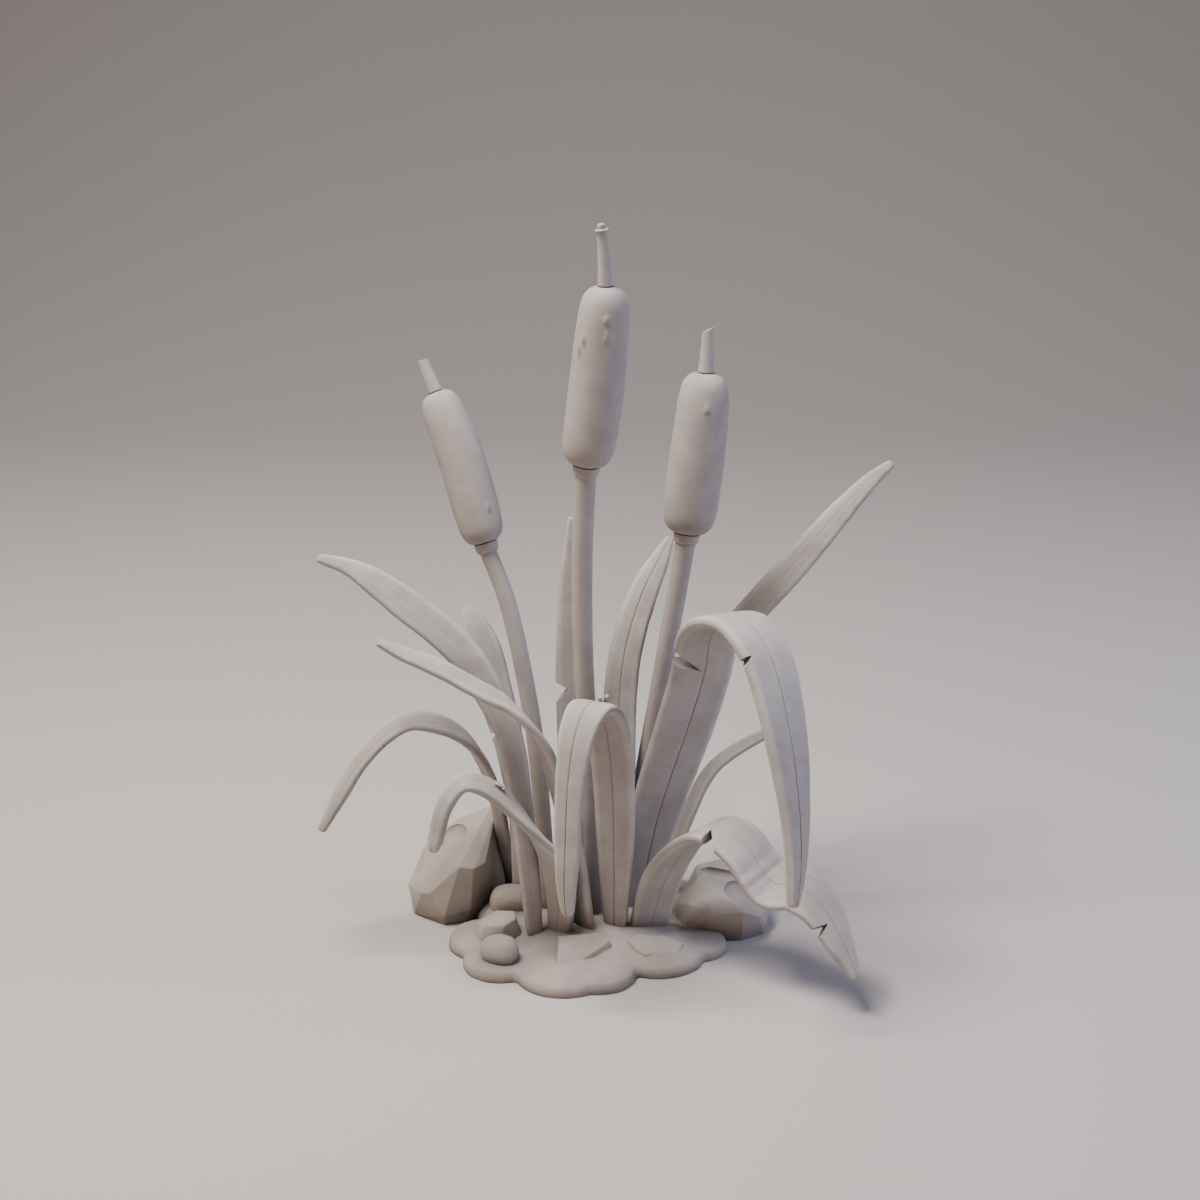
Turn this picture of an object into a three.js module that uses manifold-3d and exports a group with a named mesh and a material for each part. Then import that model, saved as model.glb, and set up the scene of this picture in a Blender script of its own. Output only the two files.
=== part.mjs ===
// A clump of cattail (bulrush): three stalks with seed heads and twelve strap leaves, all rooted
// in one puddle of soft mud with stones round it. Millimetres, +Z up, the mud's flat underside on
// the ground at z = 0. +Y is the back of the clump and +X its right-hand side.
import * as THREE from 'three';
import { ConvexGeometry } from 'three/addons/geometries/ConvexGeometry.js';
import { mergeVertices } from 'three/addons/utils/BufferGeometryUtils.js';
import Module from 'manifold-3d';

const wasm = await Module();
wasm.setup();

// Driving dimensions.
const GAP = 0.35; // clearance between neighbouring pieces
const STEM_RADIUS = 7.6; // stem just above the mud
const COLLAR_RADIUS = 11.5; // swollen ring under each head
const COLLAR_LENGTH = 9;
const BLADE_THICKNESS = 7; // a full-grown leaf, edge bevels included
const FOOT_DEPTH = 9; // height above the ground at which leaves and stems start in the mud

// ---- helpers -------------------------------------------------------------------------------

// A closed surface as a manifold-3d solid, so that it can be joined or cut.
function solidOf(geometry) {
  const bare = geometry.clone();
  bare.deleteAttribute('normal');
  bare.deleteAttribute('uv');
  const welded = mergeVertices(bare, 1e-4);
  const mesh = new wasm.Mesh({
    numProp: 3,
    vertProperties: new Float32Array(welded.attributes.position.array),
    triVerts: new Uint32Array(welded.index.array),
  });
  return new wasm.Manifold(mesh);
}

// A manifold-3d solid back as three.js geometry.
function geometryOf(solid) {
  const mesh = solid.getMesh();
  const geometry = new THREE.BufferGeometry();
  geometry.setAttribute('position', new THREE.BufferAttribute(mesh.vertProperties, 3));
  geometry.setIndex(new THREE.BufferAttribute(mesh.triVerts, 1));
  return geometry;
}

const group = new THREE.Group();
group.name = 'cattail_clump';

function addPiece(name, geometry, colour, roughness) {
  const material = new THREE.MeshStandardMaterial({ color: colour, roughness, metalness: 0 });
  const flat = geometry.index ? geometry.toNonIndexed() : geometry;
  flat.computeVertexNormals();
  const mesh = new THREE.Mesh(flat, material);
  mesh.name = name;
  group.add(mesh);
}

// Bends a straight piece, turned about +Y between y = 0 and y = 1, along a spine. The piece's own
// x runs across the blade and its z through the thickness. "across" holds the direction from edge
// to edge at equal steps from foot to tip.
function bendAlong(geometry, spine, across) {
  const curve = new THREE.CatmullRomCurve3(spine, false, 'centripetal');
  const sides = new THREE.CatmullRomCurve3(across, false, 'centripetal');
  const bent = geometry.clone();
  const position = bent.attributes.position;
  for (let i = 0; i < position.count; i++) {
    const t = THREE.MathUtils.clamp(position.getY(i), 0, 1);
    const centre = curve.getPoint(t);
    const tangent = curve.getTangent(t);
    const side = sides.getPoint(t);
    side.addScaledVector(tangent, -side.dot(tangent)).normalize();
    const normal = new THREE.Vector3().crossVectors(side, tangent);
    centre.addScaledVector(side, position.getX(i));
    centre.addScaledVector(normal, position.getZ(i));
    position.setXYZ(i, centre.x, centre.y, centre.z);
  }
  return bent;
}

const vectors = (rows) => rows.map((row) => new THREE.Vector3(row[0], row[1], row[2]));

// ---- leaves --------------------------------------------------------------------------------

// A wedge-shaped tear in an edge: a three-sided prism whose sharp edge stands at "apex", that opens
// towards "out" and runs through the blade along "through".
function nick({ apex, out, through, depth, opening }) {
  const outline = new THREE.Shape();
  outline.moveTo(0, 0);
  outline.lineTo(depth, opening / 2);
  outline.lineTo(depth, -opening / 2);
  const prism = new THREE.ExtrudeGeometry(outline, { depth: 30, bevelEnabled: false });
  prism.translate(0, 0, -15);
  const x = new THREE.Vector3(...out).normalize();
  const z = new THREE.Vector3(...through);
  z.addScaledVector(x, -z.dot(x)).normalize();
  const y = new THREE.Vector3().crossVectors(z, x);
  prism.applyMatrix4(new THREE.Matrix4().makeBasis(x, y, z).setPosition(...apex));
  return solidOf(prism);
}

// A leaf is a thick strap with bevelled edges and a shallow crease down the middle of both faces.
// Each spine row is a point on the leaf's middle line and the leaf's width there. "extra" grows
// the strap all round, which gives the socket its foot stands in.
function strapLeaf(leaf, extra) {
  const steps = leaf.steps ?? 14;
  const thickness = leaf.thickness ?? BLADE_THICKNESS;
  const widths = new THREE.CatmullRomCurve3(
    leaf.spine.map((row) => new THREE.Vector3(row[3], 0, 0)),
    false,
    'catmullrom',
    0.3,
  );
  const profile = [new THREE.Vector2(0, 0)];
  for (let i = 0; i <= steps; i++) {
    const t = i / steps;
    profile.push(new THREE.Vector2(Math.max(widths.getPoint(t).x, 2) / 2 + extra, t));
  }
  profile.push(new THREE.Vector2(0, 1));
  const straight = new THREE.LatheGeometry(profile, 8);
  const position = straight.attributes.position;
  for (let i = 0; i < position.count; i++) {
    const x = position.getX(i);
    const z = position.getZ(i);
    const radius = Math.hypot(x, z);
    if (radius < 1e-6) {
      continue;
    }
    const half = Math.min(thickness / 2 + extra, radius * 0.8);
    const onCrease = Math.abs(x) < 1e-3 * radius;
    position.setX(i, Math.sign(x) * Math.pow(Math.abs(x) / radius, 0.6) * radius);
    position.setZ(i, (z / radius) * half * (onCrease ? 0.72 : 1.2));
  }
  const spine = vectors(leaf.spine);
  spine[0].z -= extra;
  let solid = solidOf(bendAlong(straight, spine, vectors(leaf.across)));
  for (const cut of leaf.nicks ?? []) {
    solid = solid.subtract(nick(cut));
  }
  return solid;
}

const leaves = [
  {
    // Long leaf that leaves the clump low on the left and reaches out at mid height.
    name: 'leaf_far_left',
    spine: [
      [-55, 4, FOOT_DEPTH, 14],
      [-62, 8, 91, 19],
      [-73, 15, 185, 22],
      [-91, 20, 228, 26],
      [-109, 25, 258, 28],
      [-132, 28, 282, 29],
      [-157, 30, 302, 29],
      [-182, 32, 321, 24],
      [-204, 34, 334, 14],
      [-227, 35, 341, 8],
    ],
    across: [[-0.95, -0.2, -0.1], [-0.85, -0.3, -0.4], [-0.5, -0.6, -0.6], [-0.35, -0.6, -0.7]],
  },
  {
    // Narrow leaf that bends to the left over the far-left leaf and the left stem.
    name: 'leaf_left_over',
    spine: [
      [-13, 9, FOOT_DEPTH, 24],
      [-22, 3, 95, 23],
      [-38, -5, 165, 22],
      [-49, -8, 199, 22],
      [-73, -8, 228, 20],
      [-98, -5, 242, 19],
      [-132, 0, 260, 17],
      [-159, 3, 270, 13],
      [-179, 5, 279, 7],
    ],
    across: [[0.75, -0.6, 0], [0.55, -0.8, -0.1], [0.3, -0.75, -0.55], [0.3, -0.7, -0.65]],
  },
  {
    // Low leaf that rises behind the left stone, arches over it and hangs down free.
    name: 'leaf_left_arch',
    spine: [
      [-78, 101, FOOT_DEPTH, 13],
      [-88, 86, 87, 14],
      [-97, 70, 135, 18],
      [-116, 50, 178, 21],
      [-147, 35, 198, 21],
      [-171, 25, 197, 20],
      [-199, 18, 171, 18],
      [-218, 14, 139, 13],
      [-234, 10, 109, 8],
    ],
    across: [
      [0.9, -0.4, 0],
      [0.6, -0.7, -0.3],
      [0.15, -0.75, -0.6],
      [0.5, -0.65, -0.5],
      [0.75, -0.55, -0.3],
    ],
  },
  {
    // Short front leaf that arches to the left over the left-hand stone.
    name: 'leaf_front_left_arch',
    spine: [
      [-35, 5, FOOT_DEPTH, 20],
      [-33, 0, 53, 30],
      [-38, -5, 87, 36],
      [-51, -12, 112, 34],
      [-69, -20, 140, 29],
      [-92, -29, 166, 21],
      [-112, -35, 173, 17],
      [-126, -40, 156, 15],
      [-133, -42, 130, 14],
      [-136, -43, 117, 9],
    ],
    across: [
      [0.85, -0.5, 0],
      [0.75, -0.6, -0.2],
      [0.3, -0.75, -0.55],
      [0.5, -0.65, -0.5],
      [0.8, -0.5, -0.3],
    ],
  },
  {
    // Upright leaf behind the left stem.
    name: 'leaf_left_upright',
    spine: [
      [-70, 60, FOOT_DEPTH, 14],
      [-71, 78, 86, 16],
      [-79, 91, 153, 26],
      [-89, 96, 192, 30],
      [-99, 106, 234, 29],
      [-109, 116, 256, 21],
      [-114, 124, 265, 9],
    ],
    across: [[-0.95, 0.2, 0], [-0.95, 0, -0.1], [-0.9, -0.2, -0.3]],
    nicks: [{ apex: [-88, 94, 161], out: [-1, 0, 0.1], through: [0, 1, 0], depth: 12, opening: 9 }],
  },
  {
    // Upright leaf behind the middle stem, with a nick in its left edge.
    name: 'leaf_middle_upright',
    spine: [
      [-19, 56, FOOT_DEPTH, 14],
      [-22, 60, 113, 24],
      [-24, 65, 204, 27],
      [-25, 70, 257, 24],
      [-26, 75, 309, 16],
      [-25, 78, 343, 9],
      [-24, 80, 360, 6],
    ],
    across: [[-1, 0, 0], [-1, 0, 0]],
    nicks: [{ apex: [-28, 66, 213], out: [-1, 0, 0], through: [0, 1, 0], depth: 14, opening: 26 }],
  },
  {
    // Tall leaf between the middle and the right stem, leaning back to the right.
    name: 'leaf_right_upright',
    spine: [
      [11, 60, FOOT_DEPTH, 18],
      [16, 70, 109, 28],
      [17, 85, 196, 29],
      [24, 95, 247, 28],
      [38, 108, 288, 25],
      [51, 118, 312, 17],
      [59, 125, 328, 8],
    ],
    across: [[-1, 0.1, 0], [-0.95, 0.2, 0.1], [-0.85, 0.3, 0.3]],
  },
  {
    // Straight leaf that reaches up and out to the right at the back.
    name: 'leaf_far_right',
    spine: [
      [36, 98, FOOT_DEPTH, 16],
      [46, 100, 105, 22],
      [66, 105, 174, 24],
      [97, 112, 226, 25],
      [139, 118, 275, 26],
      [167, 122, 306, 26],
      [197, 127, 342, 24],
      [228, 132, 376, 16],
      [247, 135, 393, 8],
    ],
    across: [[-0.95, 0.2, 0.1], [-0.8, 0.4, 0.3], [-0.5, 0.55, 0.55]],
  },
  {
    // The widest leaf: it climbs to the right, folds over forwards and hangs down.
    name: 'leaf_right_folded',
    steps: 26,
    thickness: 9,
    spine: [
      [30, 48, FOOT_DEPTH, 22],
      [46, 40, 106, 46],
      [70, 30, 192, 54],
      [84, 20, 250, 56],
      [88, -2, 296, 57],
      [112, -33, 314, 56],
      [136, -60, 293, 51],
      [148, -84, 243, 44],
      [153, -100, 195, 33],
      [154, -112, 150, 21],
      [152, -120, 108, 9],
    ],
    across: [[0.92, 0.35, 0], [0.92, 0.35, -0.05], [0.75, 0.65, -0.15], [0.72, 0.7, -0.1], [0.7, 0.7, 0]],
    nicks: [
      {
        apex: [84, 18, 250],
        out: [-0.52, -0.6, 0.61],
        through: [-0.62, 0.66, 0.39],
        depth: 46,
        opening: 18,
      },
      {
        apex: [116, -66, 299],
        out: [-0.46, -0.87, -0.16],
        through: [0.32, -0.33, 0.88],
        depth: 16,
        opening: 15,
      },
    ],
  },
  {
    // Thin young leaf behind the folded one.
    name: 'leaf_right_young',
    spine: [
      [50, 78, FOOT_DEPTH, 11],
      [67, 80, 60, 12],
      [79, 84, 94, 14],
      [91, 88, 120, 14],
      [107, 92, 138, 13],
      [131, 97, 152, 11],
      [152, 101, 161, 8],
      [168, 104, 166, 7],
    ],
    across: [[-0.9, 0.4, 0], [-0.5, 0.7, 0.3], [-0.3, 0.75, 0.4]],
  },
  {
    // Front leaf that folds forwards and hangs almost to the mud.
    name: 'leaf_front_folded',
    steps: 24,
    thickness: 8,
    spine: [
      [13, 12, FOOT_DEPTH, 18],
      [13, 4, 95, 32],
      [11, -8, 169, 36],
      [5, -25, 224, 37],
      [-7, -48, 246, 36],
      [-18, -66, 230, 31],
      [-24, -76, 187, 24],
      [-26, -82, 136, 21],
      [-27, -85, 104, 17],
      [-26, -86, 84, 9],
    ],
    across: [[0.9, -0.2, 0], [0.9, -0.35, 0], [0.9, -0.35, 0]],
  },
  {
    // Low broken leaf that creases over the right-hand stone and sags almost to the ground.
    name: 'leaf_right_low',
    steps: 24,
    thickness: 8,
    spine: [
      [41, 18, FOOT_DEPTH, 34],
      [51, 8, 62, 40],
      [68, -4, 99, 42],
      [92, -18, 123, 46],
      [116, -32, 116, 50],
      [135, -44, 92, 46],
      [156, -58, 89, 42],
      [178, -72, 80, 40],
      [194, -90, 55, 24],
      [205, -103, 33, 9],
    ],
    across: [[0.95, 0.3, 0], [0.8, 0.6, 0.1], [0.4, 0.75, 0.5], [0.4, 0.75, 0.5], [0.5, 0.75, 0.4]],
    nicks: [
      {
        apex: [92, -18, 123],
        out: [-0.15, -1, -0.05],
        through: [-0.31, 0, 0.9],
        depth: 26,
        opening: 12,
      },
      {
        apex: [183, -85, 66],
        out: [-0.45, -0.75, -0.4],
        through: [0.5, -0.6, 0.6],
        depth: 16,
        opening: 16,
      },
    ],
  },
];

// ---- stalks --------------------------------------------------------------------------------

// A turned piece given as [radius, millimetres along the stalk] rows, bent along the stalk.
function turnedPiece(rows, stalk, segments, extra = 0) {
  const spine = vectors(stalk.spine);
  spine[0].z -= extra;
  const curve = new THREE.CatmullRomCurve3(spine, false, 'centripetal');
  const length = curve.getLength();
  const profile = rows.map((row) => new THREE.Vector2(row[0] > 0 ? row[0] + extra : 0, row[1]));
  const turned = new THREE.LatheGeometry(profile, segments);
  const position = turned.attributes.position;
  for (let i = 0; i < position.count; i++) {
    const u = THREE.MathUtils.clamp(position.getY(i) / length, 0, 1);
    const centre = curve.getPointAt(u);
    const tangent = curve.getTangentAt(u);
    const side = new THREE.Vector3(1, 0, 0).addScaledVector(tangent, -tangent.x).normalize();
    const normal = new THREE.Vector3().crossVectors(side, tangent);
    centre.addScaledVector(side, position.getX(i));
    centre.addScaledVector(normal, position.getZ(i));
    position.setXYZ(i, centre.x, centre.y, centre.z);
  }
  return solidOf(turned);
}

// Stem from its foot to the collar ring, slightly thicker towards the head.
function stemRows(stalk) {
  const top = stalk.headStart;
  const rows = [[0, 0], [STEM_RADIUS, 0]];
  for (const part of [0.2, 0.4, 0.6, 0.8]) {
    rows.push([STEM_RADIUS + (stalk.stemTop - STEM_RADIUS) * part, top * part]);
  }
  rows.push([stalk.stemTop, top - COLLAR_LENGTH - 2]);
  rows.push([COLLAR_RADIUS, top - COLLAR_LENGTH]);
  rows.push([COLLAR_RADIUS, top - 1]);
  rows.push([0, top - 1]);
  return rows;
}

// Seed head: a thick sausage with rounded shoulders, as shares of its radius and of its length.
const HEAD_PROFILE = [
  [0.5, 0],
  [0.76, 0.012],
  [0.93, 0.06],
  [0.99, 0.14],
  [1, 0.35],
  [0.97, 0.65],
  [0.9, 0.88],
  [0.74, 0.965],
  [0.45, 1],
];

function headRows(stalk) {
  const radius = stalk.headRadius;
  const start = stalk.headStart - 1 + GAP;
  const length = stalk.headLength;
  const rows = [[0, start]];
  for (const [r, t] of HEAD_PROFILE) {
    rows.push([radius * r, start + length * t]);
  }
  rows.push([0, start + length]);
  return rows;
}

// Bare spike above the head: the withered remains of the upper flower.
function spikeRows(stalk) {
  const start = stalk.headStart - 1 + stalk.headLength + 2 * GAP;
  const rows = [[0, start]];
  for (const [r, t] of stalk.spike) {
    rows.push([r, start + t]);
  }
  rows.push([0, start + stalk.spike.at(-1)[1]]);
  return rows;
}

const stalks = [
  {
    side: 'left',
    spine: [
      [-45, 45, FOOT_DEPTH],
      [-49, 47, 100],
      [-57, 52, 191],
      [-77, 66, 294],
      [-93, 76, 333],
      [-115, 93, 410],
      [-138, 110, 466],
      [-153, 121, 500],
    ],
    stemTop: 7.2,
    headStart: 342,
    headLength: 131,
    headRadius: 19.5,
    spike: [[6.4, 0], [5.8, 5], [4.9, 28]],
  },
  {
    side: 'middle',
    spine: [
      [-5, 28, FOOT_DEPTH],
      [-7, 24, 132],
      [-14, 20, 267],
      [-13, 20, 396],
      [-2, 20, 495],
      [4, 20, 568],
      [0, 20, 626],
    ],
    stemTop: 8.8,
    headStart: 418,
    headLength: 145,
    headRadius: 22,
    spike: [[6.4, 0], [6, 5], [3.9, 44], [5, 47], [4.4, 49], [2.6, 51]],
  },
  {
    side: 'right',
    spine: [
      [28, 82, FOOT_DEPTH],
      [32, 83, 86],
      [51, 85, 206],
      [63, 89, 281],
      [71, 93, 329],
      [85, 104, 448],
      [89, 110, 520],
    ],
    stemTop: 8.6,
    headStart: 340,
    headLength: 136,
    headRadius: 23,
    spike: [[7, 0], [6.4, 4], [4.2, 27], [4.6, 33], [3, 36]],
  },
];

// ---- stones --------------------------------------------------------------------------------

// Stones are broken, not worn: flat faces between a few corners.
const stones = [
  {
    name: 'stone_left',
    corners: [
      [-98, 110, 85], [-94, 103, 80], [-108, 79, 71], [-101, 58, 54], [-86, 90, 20], [-93, 74, 3],
      [-113, 47, 15], [-110, 47, 54], [-122, 44, 57], [-147, 50, 29], [-155, 58, 25], [-168, 85, 20],
      [-162, 66, 0], [-135, 46, 0], [-135, 43, 9], [-117, 51, 0], [-153, 97, 53], [-127, 108, 72],
      [-93, 74, 0], [-90, 92, 0], [-95, 124, 0], [-150, 128, 0], [-102, 128, 63], [-144, 126, 40],
    ],
  },
  {
    name: 'stone_right',
    corners: [
      [84, 62, 50], [105, 66, 54], [126, 60, 50], [147, 45, 18], [144, 32, 9], [141, 30, 0],
      [122, 18, 0], [95, 17, 0], [84, 40, 49], [76, 28, 30], [96, 13, 27], [122, 11, 31],
      [136, 20, 22], [72, 24, 0], [78, 74, 0], [140, 78, 0], [138, 74, 36], [88, 80, 42],
      [66, 38, 0], [66, 42, 22],
    ],
  },
];

const pebbles = [
  {
    name: 'pebble_angular',
    corners: [
      [-104, 2, 12], [-100, -12, 13], [-80, -14, 13], [-64, -2, 15], [-67, 14, 15], [-88, 22, 13],
      [-100, 4, 22], [-96, -6, 23], [-79, -9, 25], [-69, 0, 27], [-71, 10, 29], [-86, 15, 27],
    ],
  },
  {
    name: 'slab_front',
    corners: [
      [-37, -14, 12], [4, -12, 12], [7, -24, 12], [-38, -56, 7], [-34, -60, 6], [-35, -18, 24],
      [-1, -14, 25], [7, -26, 21], [-38, -52, 12], [-34, -56, 11], [6, -32, 16], [-33, -24, 23],
    ],
  },
  {
    name: 'slab_right',
    corners: [
      [20, -12, 8], [36, -36, 8], [66, -32, 7], [74, -14, 8], [60, -4, 8], [30, -3, 8],
      [22, -12, 20], [37, -32, 17], [64, -28, 15], [70, -14, 18], [58, -6, 20], [32, -5, 22],
    ],
  },
];

// ---- build ---------------------------------------------------------------------------------

const LEAF = '#bdb6b0';
const STEM = '#b9b1aa';
const HEAD = '#c1bab4';
const MUD = '#b8afa9';
const STONE = '#b5aca5';

// The stone or pebble itself, or the slightly larger hollow that it lies in.
function stoneSolid(stone, scale = 1) {
  const points = vectors(stone.corners);
  const centre = new THREE.Vector3();
  points.forEach((point) => centre.addScaledVector(point, 1 / points.length));
  points.forEach((point) => point.sub(centre).multiplyScalar(scale).add(centre));
  return solidOf(new ConvexGeometry(points));
}

// Water-worn pebbles, half sunk in the mud.
const roundPebbles = [
  { name: 'pebble_round', centre: [-84, -32, 16], half: [16, 13, 11], turn: 0.12 },
  { name: 'pebble_back', centre: [-87, 50, 20], half: [11, 8.5, 9], turn: -0.3 },
];

function roundPebble(pebble, extra) {
  const shape = new THREE.SphereGeometry(1, 12, 7);
  shape.scale(...pebble.half.map((half) => half + extra));
  shape.rotateY(pebble.turn);
  shape.translate(...pebble.centre);
  return solidOf(shape);
}

// Mud: soft flattened drops that have run together, highest in the middle.
function mudDrop(x, y, radius, height, segments) {
  const lip = Math.min(9, height);
  const rows = [[0, 0], [radius - 2, 0], [radius, 0.3 * lip], [radius - 1.5, 0.75 * lip]];
  rows.push([radius * 0.9, lip], [radius * 0.62, lip + (height - lip) * 0.55]);
  rows.push([radius * 0.3, lip + (height - lip) * 0.9], [0, height]);
  const drop = new THREE.LatheGeometry(rows.map((row) => new THREE.Vector2(...row)), segments);
  drop.rotateX(Math.PI / 2);
  drop.translate(x, y, 0);
  return solidOf(drop);
}

const drops = [
  [-5, 38, 88, 25, 28],
  [-98, 12, 32, 13, 16],
  [-82, -22, 34, 12, 16],
  [-30, -38, 43, 15, 22],
  [-2, -42, 33, 13, 16],
  [48, -8, 41, 16, 22],
  [82, 6, 27, 12, 16],
  [-80, 54, 24, 18, 16],
  [58, 78, 44, 17, 18],
  [-12, 98, 36, 16, 12],
  [-72, 88, 38, 17, 12],
];

let mud = drops.map((drop) => mudDrop(...drop)).reduce((sum, drop) => sum.add(drop));
for (const leaf of leaves) {
  mud = mud.subtract(strapLeaf(leaf, GAP));
}
for (const stalk of stalks) {
  mud = mud.subtract(turnedPiece([...stemRows(stalk).slice(0, 3), [0, 80]], stalk, 16, GAP));
}
for (const stone of stones) {
  mud = mud.subtract(stoneSolid(stone, 1.02));
}
for (const pebble of pebbles) {
  mud = mud.subtract(stoneSolid(pebble, 1.05));
}
for (const pebble of roundPebbles) {
  mud = mud.subtract(roundPebble(pebble, GAP));
}
addPiece('mud_mound', geometryOf(mud), MUD, 0.9);

for (const stone of [...stones, ...pebbles]) {
  addPiece(stone.name, geometryOf(stoneSolid(stone)), STONE, 0.85);
}
for (const pebble of roundPebbles) {
  addPiece(pebble.name, geometryOf(roundPebble(pebble, 0)), STONE, 0.85);
}

for (const stalk of stalks) {
  addPiece(`stem_${stalk.side}`, geometryOf(turnedPiece(stemRows(stalk), stalk, 16)), STEM, 0.8);
  addPiece(`seed_head_${stalk.side}`, geometryOf(turnedPiece(headRows(stalk), stalk, 20)), HEAD, 0.95);
  addPiece(`spike_${stalk.side}`, geometryOf(turnedPiece(spikeRows(stalk), stalk, 12)), STEM, 0.85);
}

for (const leaf of leaves) {
  addPiece(leaf.name, geometryOf(strapLeaf(leaf, 0)), LEAF, 0.8);
}

export default group;
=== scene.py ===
import math
import bpy
from mathutils import Matrix, Vector


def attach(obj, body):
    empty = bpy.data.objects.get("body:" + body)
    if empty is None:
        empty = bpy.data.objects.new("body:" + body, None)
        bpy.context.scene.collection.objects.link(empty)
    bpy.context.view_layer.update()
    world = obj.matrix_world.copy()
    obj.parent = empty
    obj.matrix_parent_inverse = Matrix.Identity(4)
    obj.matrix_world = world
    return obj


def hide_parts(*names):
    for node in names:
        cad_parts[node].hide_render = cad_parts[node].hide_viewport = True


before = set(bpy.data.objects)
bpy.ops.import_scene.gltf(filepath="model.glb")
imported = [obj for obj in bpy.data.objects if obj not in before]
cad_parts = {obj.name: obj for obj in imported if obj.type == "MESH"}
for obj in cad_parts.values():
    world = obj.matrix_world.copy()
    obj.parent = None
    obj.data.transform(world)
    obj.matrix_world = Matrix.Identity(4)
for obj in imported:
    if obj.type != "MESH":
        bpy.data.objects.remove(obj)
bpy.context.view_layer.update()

MM = 0.001

# ---------------------------------------------------------------- mud mound
# A puddle of wet mud that has set: flattened drops that ran together, with a rounded lip
# where it stopped on the ground. The whole clump grows out of it. Modelled in soft matte clay.


def deselect_all():
    if bpy.context.object and bpy.context.object.mode != "OBJECT":
        bpy.ops.object.mode_set(mode="OBJECT")
    bpy.ops.object.select_all(action="DESELECT")


def make_active(piece):
    deselect_all()
    piece.select_set(True)
    bpy.context.view_layer.objects.active = piece


def spot_frame(tangent, across):
    """Columns: across the section, through it, and along the growth."""
    along = Vector(tangent).normalized()
    side = Vector(across)
    side = (side - along * side.dot(along)).normalized()
    return Matrix((side, along.cross(side), along)).transposed()


def grow(name, section, stations):
    """Extrudes a section from station to station. A station is (centre, frame, width, thickness)
    in metres, and the section is a ring of points one unit wide and one unit thick."""
    deselect_all()
    bpy.ops.mesh.primitive_circle_add(vertices=len(section), radius=1, fill_type="NGON")
    piece = bpy.context.object
    piece.name = name
    for vertex, (x, y) in zip(piece.data.vertices, section):
        vertex.co = (x, y, 0)
    cursor = bpy.context.scene.cursor
    cursor.rotation_mode = "QUATERNION"
    bpy.ops.object.mode_set(mode="EDIT")
    bpy.ops.mesh.select_all(action="SELECT")
    centre, turned, width, thickness = Vector((0, 0, 0)), Matrix.Identity(3), 1.0, 1.0
    for index, (next_centre, next_frame, next_width, next_thickness) in enumerate(stations):
        move = next_centre - centre
        if index:
            bpy.ops.mesh.extrude_region_move(TRANSFORM_OT_translate={"value": move})
        else:
            bpy.ops.transform.translate(value=move)
        axis, angle = (next_frame @ turned.transposed()).to_quaternion().to_axis_angle()
        if angle > 1e-6:
            turn = axis.to_track_quat("Z", "Y")
            cursor.rotation_quaternion = turn
            bpy.ops.transform.rotate(
                value=-angle, orient_axis="Z", orient_type="CURSOR", orient_matrix=turn.to_matrix(),
                orient_matrix_type="CURSOR", center_override=next_centre)
        cursor.rotation_quaternion = next_frame.to_quaternion()
        bpy.ops.transform.resize(
            value=(next_width / width, next_thickness / thickness, 1), orient_type="CURSOR",
            orient_matrix=next_frame, orient_matrix_type="CURSOR", center_override=next_centre)
        centre, turned, width, thickness = next_centre, next_frame, next_width, next_thickness
    bpy.ops.mesh.select_all(action="SELECT")
    bpy.ops.mesh.normals_make_consistent(inside=False)
    bpy.ops.object.mode_set(mode="OBJECT")
    cursor.rotation_quaternion = (1, 0, 0, 0)
    return piece


def ring(count):
    angles = [math.tau * k / count for k in range(count)]
    return [(0.5 * math.cos(angle), 0.5 * math.sin(angle)) for angle in angles]


def apply_modifier(piece, kind, **settings):
    make_active(piece)
    modifier = piece.modifiers.new(kind.lower(), kind)
    for key, value in settings.items():
        setattr(modifier, key, value)
    bpy.ops.object.modifier_apply(modifier=modifier.name)


def settle(piece):
    """The finished piece at the origin, unturned and unscaled, with its place in its mesh."""
    make_active(piece)
    bpy.ops.object.transform_apply(location=True, rotation=True, scale=True)


def linear(hex_colour):
    values = [int(hex_colour[i:i + 2], 16) / 255 for i in (1, 3, 5)]
    return tuple(v / 12.92 if v <= 0.04045 else ((v + 0.055) / 1.055) ** 2.4 for v in values) + (1,)


def add_node(tree, kind, links=(), **inputs):
    """Adds a node, sets its sockets and links (output socket, input name) pairs into it."""
    node = tree.nodes.new(kind)
    for key, value in inputs.items():
        name = key.replace("_", " ")
        if name in node.inputs:
            node.inputs[name].default_value = value
        else:
            setattr(node, key, value)
    for source, target in links:
        tree.links.new(source, node.inputs[target])
    return node


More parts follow.
